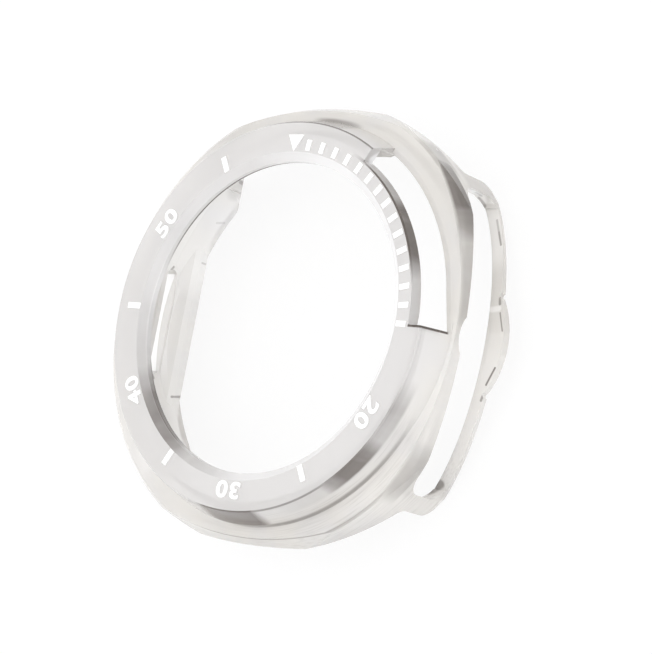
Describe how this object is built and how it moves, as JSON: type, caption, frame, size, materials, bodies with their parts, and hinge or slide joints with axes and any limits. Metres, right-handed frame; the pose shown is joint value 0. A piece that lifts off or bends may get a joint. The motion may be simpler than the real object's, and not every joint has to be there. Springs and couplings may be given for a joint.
{
  "type": "smartwatch bumper case",
  "caption": "Clear clip-on bumper for a round smartwatch, with a printed minute ring, a finger window, strap arches and an open button slot behind a guard rail",
  "frame": {"origin": "centre of the display opening, on the seat plane where the face of the watch meets the back of the front ring", "axes": "+Z points out of the display, +X to 3 o'clock, where the buttons are, and +Y to 12 o'clock"},
  "size_m": [0.0497, 0.0474, 0.0121],
  "materials": {
    "clear_plastic": "clear moulded plastic, polished",
    "white_print": "white pad-printed ink"
  },
  "bodies": {
    "root": {"bumper_frame": "clear_plastic", "scale_pip": "white_print", "minute_ticks": "white_print", "baton_25": "white_print", "baton_35": "white_print", "baton_45": "white_print", "baton_55": "white_print"}
  },
  "joints": []
}
